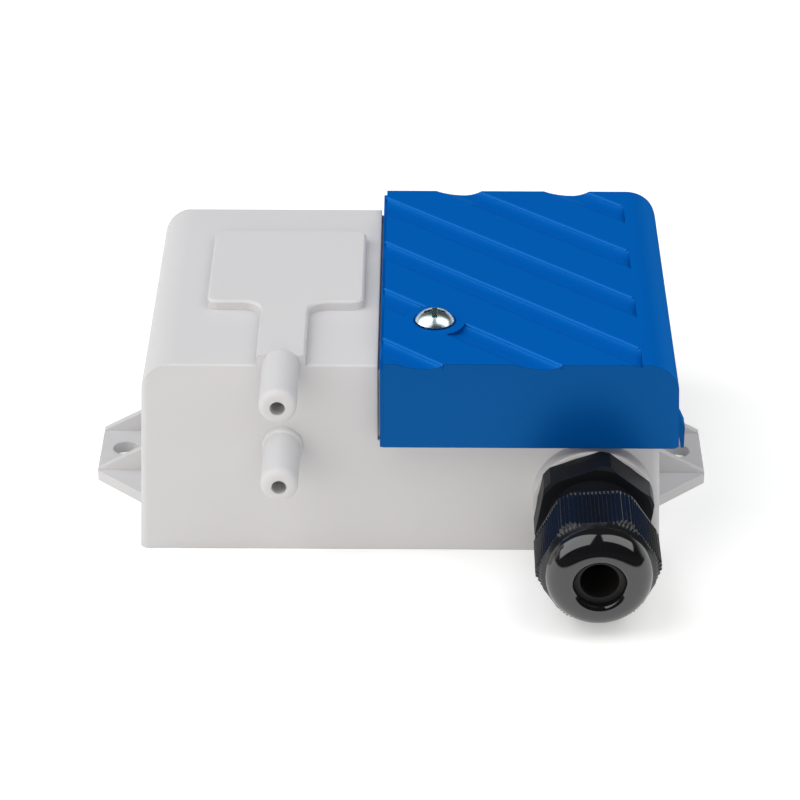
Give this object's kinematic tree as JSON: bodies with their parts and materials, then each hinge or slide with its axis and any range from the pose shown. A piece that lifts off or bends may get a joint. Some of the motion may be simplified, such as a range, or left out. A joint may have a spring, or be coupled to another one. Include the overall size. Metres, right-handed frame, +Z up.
{
  "type": "differential pressure transmitter",
  "caption": "Case-mounted differential air pressure transmitter: grey case with screw lugs and two hose nozzles, blue screw-down lid over the terminals, and a cable gland.",
  "frame": {"origin": "midway between the two lug holes, on the mounting plane under the case", "axes": "+X along the case from the nozzles towards the lid, +Y away from the nozzles and the gland, +Z up from the mounting plane"},
  "size_m": [0.1088, 0.0937, 0.0398],
  "materials": {
    "case_grey": "fine matte moulding",
    "lid_blue": "satin moulding",
    "gland_black": "semi-gloss moulding",
    "rubber_black": "matte",
    "zinc_screw": "bright zinc plate",
    "washer_white": "plain moulding",
    "clamp_white": "plain moulding",
    "ceramic": "fired ceramic, smooth",
    "strip_amber": "polyimide film",
    "board_green": "solder mask",
    "terminal_green": "plain moulding",
    "contact_tin": "tin plate",
    "chip_black": "moulded package",
    "can_metal": "drawn can"
  },
  "bodies": {
    "case": {"back_plate": "case_grey", "back_plate_gasket": "rubber_black", "back_plate_screws": "zinc_screw", "beam_seal": "rubber_black", "board_screws": "zinc_screw", "ceramic_beam": "ceramic", "circuit_board": "board_green", "diaphragm": "rubber_black", "diaphragm_clamp": "clamp_white", "diaphragm_plate": "clamp_white", "diaphragm_screws": "zinc_screw", "gland_body": "gland_black", "gland_gasket": "rubber_black", "housing": "case_grey", "sensor_strip": "strip_amber", "signal_chip": "chip_black", "smoothing_capacitor": "can_metal", "terminal_block": "terminal_green", "terminal_contact_1": "contact_tin", "terminal_contact_2": "contact_tin", "terminal_contact_3": "contact_tin"},
    "lid": {"cover": "lid_blue", "cover_gasket": "rubber_black"},
    "lid_screw_carrier": {"screw_retainer": "washer_white"},
    "lid_screw": {"cover_screw": "zinc_screw"},
    "gland_insert": {"gland_seal": "rubber_black"},
    "gland_cap": {"gland_nut": "gland_black"},
    "clamp_screw_1": {"terminal_screw_1": "zinc_screw"},
    "clamp_cage_1": {"terminal_cage_1": "zinc_screw"},
    "clamp_screw_2": {"terminal_screw_2": "zinc_screw"},
    "clamp_cage_2": {"terminal_cage_2": "zinc_screw"},
    "clamp_screw_3": {"terminal_screw_3": "zinc_screw"},
    "clamp_cage_3": {"terminal_cage_3": "zinc_screw"}
  },
  "joints": [
    {"name": "cover_lift", "type": "slide", "parent": "case", "child": "lid", "axis": [0, 0, 1], "range_m": [0, 0.045]},
    {"name": "cover_screw_travel", "type": "slide", "parent": "lid", "child": "lid_screw_carrier", "axis": [0, 0, 1], "range_m": [0, 0.0054]},
    {"name": "cover_screw_turn", "type": "hinge", "parent": "lid_screw_carrier", "child": "lid_screw", "pos_m": [0.0058, -0.0171, 0.0374], "axis": [0, 0, 1], "range_deg": [0, 1440.1]},
    {"name": "gland_insert_travel", "type": "slide", "parent": "case", "child": "gland_insert", "axis": [0, -1, 0], "range_m": [0, 0.00451]},
    {"name": "gland_nut_turn", "type": "hinge", "parent": "gland_insert", "child": "gland_cap", "pos_m": [0.033, -0.05, 0.0109], "axis": [0, -1, 0], "range_deg": [0, 1080]},
    {"name": "terminal_1_screw_turn", "type": "hinge", "parent": "case", "child": "clamp_screw_1", "pos_m": [0.01992, -0.00285, 0.017], "axis": [0, 0, 1], "range_deg": [-1080.1, 0]},
    {"name": "terminal_1_cage_travel", "type": "slide", "parent": "case", "child": "clamp_cage_1", "axis": [0, 0, 1], "range_m": [0, 0.0015]},
    {"name": "terminal_2_screw_turn", "type": "hinge", "parent": "case", "child": "clamp_screw_2", "pos_m": [0.025, -0.00285, 0.017], "axis": [0, 0, 1], "range_deg": [-1080.1, 0]},
    {"name": "terminal_2_cage_travel", "type": "slide", "parent": "case", "child": "clamp_cage_2", "axis": [0, 0, 1], "range_m": [0, 0.0015]},
    {"name": "terminal_3_screw_turn", "type": "hinge", "parent": "case", "child": "clamp_screw_3", "pos_m": [0.03008, -0.00285, 0.017], "axis": [0, 0, 1], "range_deg": [-1080.1, 0]},
    {"name": "terminal_3_cage_travel", "type": "slide", "parent": "case", "child": "clamp_cage_3", "axis": [0, 0, 1], "range_m": [0, 0.0015]}
  ],
  "couplings": [
    {"joint": "cover_screw_turn", "follows": "cover_screw_travel", "rad_per_m": 4654.2},
    {"joint": "gland_insert_travel", "follows": "gland_nut_turn", "m_per_rad": 0.00023873},
    {"joint": "terminal_1_screw_turn", "follows": "terminal_1_cage_travel", "rad_per_m": -12566},
    {"joint": "terminal_2_screw_turn", "follows": "terminal_2_cage_travel", "rad_per_m": -12566},
    {"joint": "terminal_3_screw_turn", "follows": "terminal_3_cage_travel", "rad_per_m": -12566}
  ]
}
